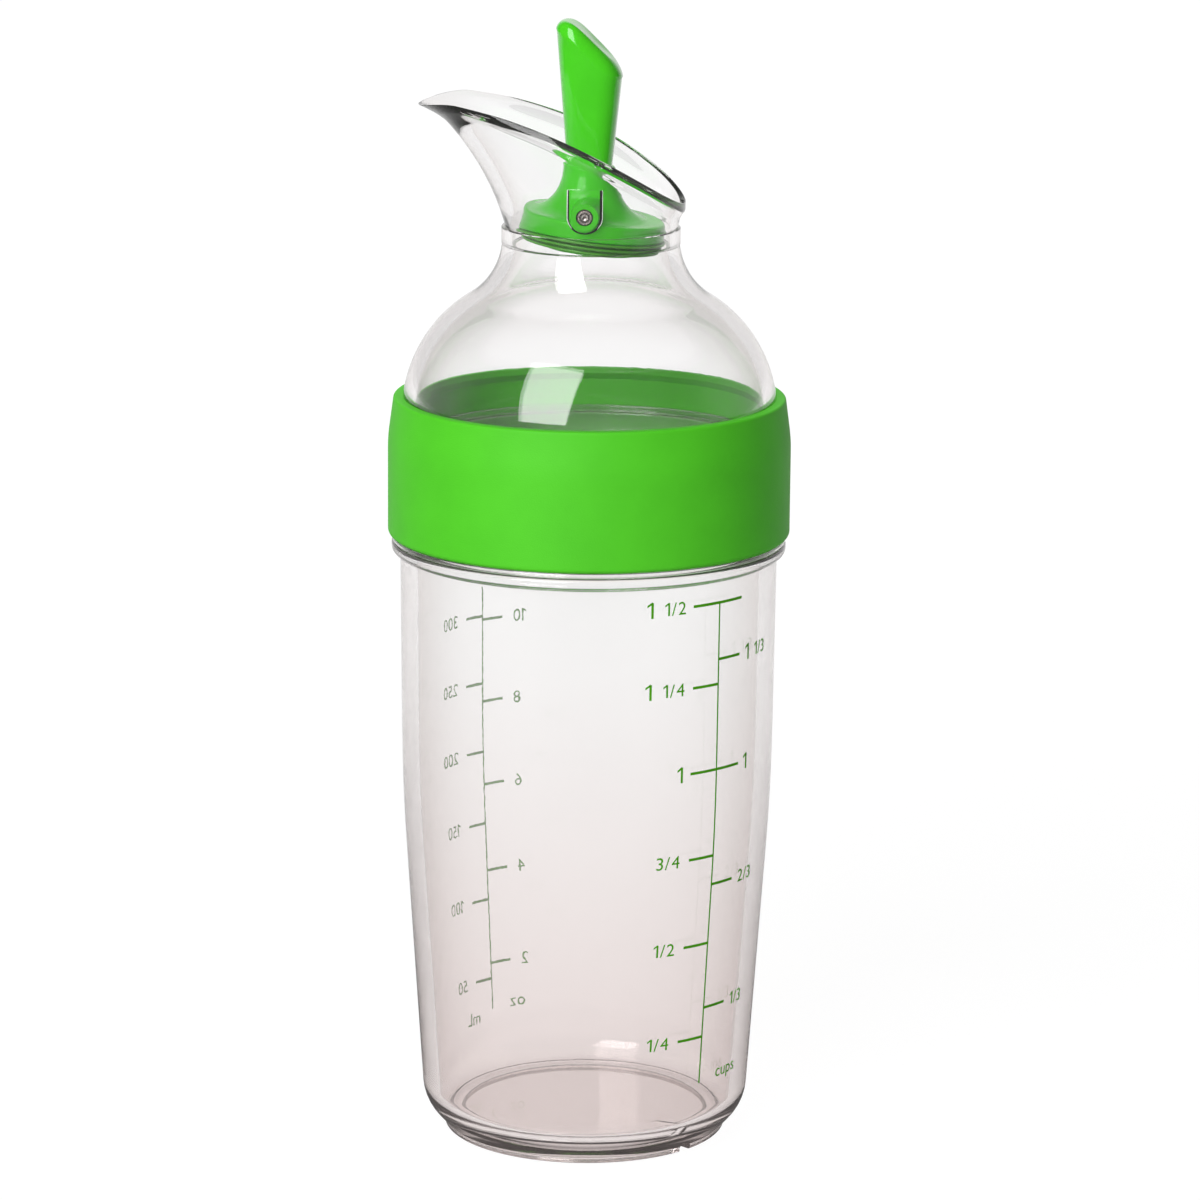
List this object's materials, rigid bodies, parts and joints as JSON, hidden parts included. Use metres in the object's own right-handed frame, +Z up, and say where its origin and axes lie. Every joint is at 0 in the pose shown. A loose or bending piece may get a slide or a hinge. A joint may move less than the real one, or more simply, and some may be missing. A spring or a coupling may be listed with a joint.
{
  "type": "salad dressing shaker bottle",
  "caption": "Clear tapered shaker bottle with a screw-on domed lid, soft grip band, slanted pouring spout and a flip lever that tilts a sealed stopper open.",
  "frame": {"origin": "centre of the foot ring's underside, on the bottle's axis", "axes": "+Z up along the bottle's axis, -X towards the pouring spout, +Y across along the stopper's pin"},
  "size_m": [0.0788, 0.0788, 0.2221],
  "materials": {
    "clear_cup": "clear polished",
    "clear_lid": "clear polished",
    "green_grip": "fine matt",
    "clear_silicone": "translucent satin",
    "green_gloss": "glossy moulded",
    "green_silicone": "satin",
    "turned_steel": "turned ends"
  },
  "bodies": {
    "cup": {"cup": "clear_cup"},
    "gasket": {"lid_gasket": "clear_silicone"},
    "lid": {"lid_dome": "clear_lid", "pour_spout": "clear_lid", "grip_band": "green_grip"},
    "stopper": {"stopper_plug": "green_gloss", "stopper_seal": "green_silicone", "pivot_pin": "turned_steel", "flip_lever": "green_gloss"}
  },
  "joints": [
    {"name": "lid_lift", "type": "slide", "parent": "cup", "child": "gasket", "axis": [0, 0, 1], "range_m": [0, 0.00625]},
    {"name": "lid_turn", "type": "hinge", "parent": "gasket", "child": "lid", "pos_m": [0, 0, 0.13], "axis": [0, 0, 1], "range_deg": [0, 450]},
    {"name": "lever_flip", "type": "hinge", "parent": "lid", "child": "stopper", "pos_m": [0, 0, 0.1855], "axis": [0, 1, 0], "range_deg": [0, 50]}
  ],
  "couplings": [
    {"joint": "lid_lift", "follows": "lid_turn", "m_per_rad": 0.00079577}
  ]
}
